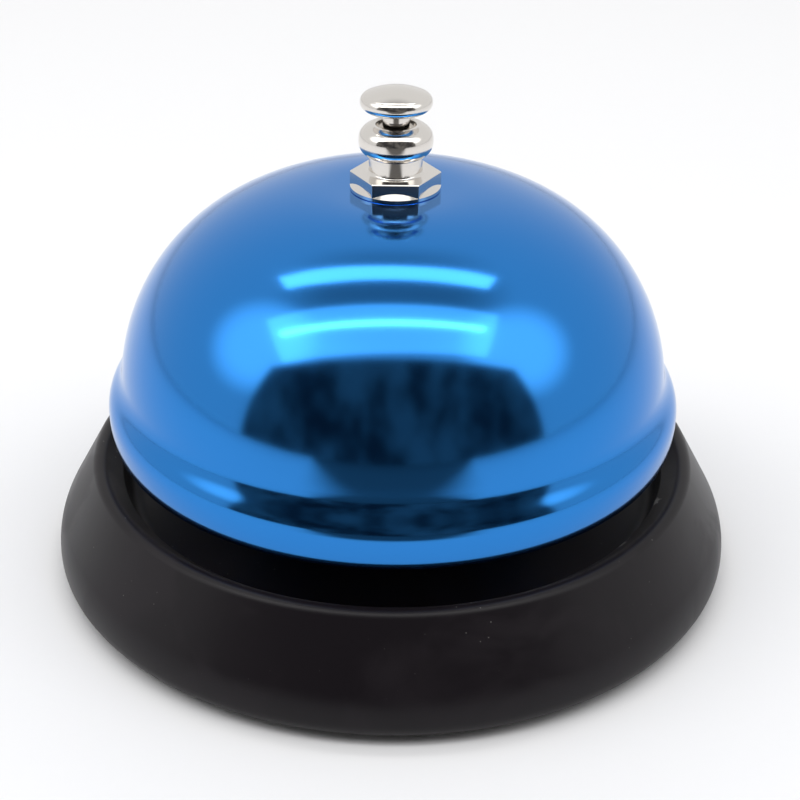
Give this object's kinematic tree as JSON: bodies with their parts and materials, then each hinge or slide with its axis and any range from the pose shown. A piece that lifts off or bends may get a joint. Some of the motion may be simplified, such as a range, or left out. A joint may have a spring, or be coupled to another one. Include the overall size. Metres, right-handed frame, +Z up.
{
  "type": "service bell",
  "caption": "Counter service bell: push button on a polished blue gong over a black flared base, with a hinged striker inside.",
  "frame": {"origin": "middle of the underside of the foot ring, on the bell's vertical axis", "axes": "+Z up along the bell's axis, towards the button; +X towards the side where the striker hits the gong"},
  "size_m": [0.085, 0.085, 0.0606],
  "materials": {
    "blue_lacquer": "mirror-polished plating under clear blue lacquer",
    "black_paint": "black satin stove enamel",
    "nickel_plate": "bright nickel plating",
    "zinc_plate": "bright zinc plating on stamped steel",
    "bright_steel": "plain bright steel",
    "turned_brass": "as turned",
    "red_fibre": "vulcanised fibre sheet",
    "foot_rubber": "matt black rubber"
  },
  "bodies": {
    "housing": {"base_shell": "black_paint", "foot_ring": "foot_rubber", "mechanism_bracket": "zinc_plate", "bracket_rivet_front": "bright_steel", "bracket_rivet_back": "bright_steel", "center_post": "nickel_plate", "post_lock_washer": "bright_steel", "post_nut": "zinc_plate", "guide_bush": "turned_brass", "seat_washer": "red_fibre", "bell_dome": "blue_lacquer", "finial_nut": "nickel_plate", "pivot_pin": "bright_steel", "pin_clip": "bright_steel", "return_spring": "bright_steel"},
    "plunger": {"push_button": "nickel_plate", "plunger_rod": "nickel_plate", "plunger_collar": "bright_steel"},
    "striker": {"striker_arm": "zinc_plate", "striker_head": "turned_brass"}
  },
  "joints": [
    {"name": "button_press", "type": "slide", "parent": "housing", "child": "plunger", "axis": [0, 0, -1], "range_m": [0, 0.0015], "stiffness_N_per_m": 400, "springref_m": -0.003, "deforming": ["return_spring"]},
    {"name": "striker_swing", "type": "hinge", "parent": "housing", "child": "striker", "pos_m": [0.005, 0, 0.02965], "axis": [0, -1, 0], "range_deg": [0, 17.2]}
  ],
  "couplings": [
    {"joint": "striker_swing", "follows": "button_press", "rad_per_m": 200}
  ]
}
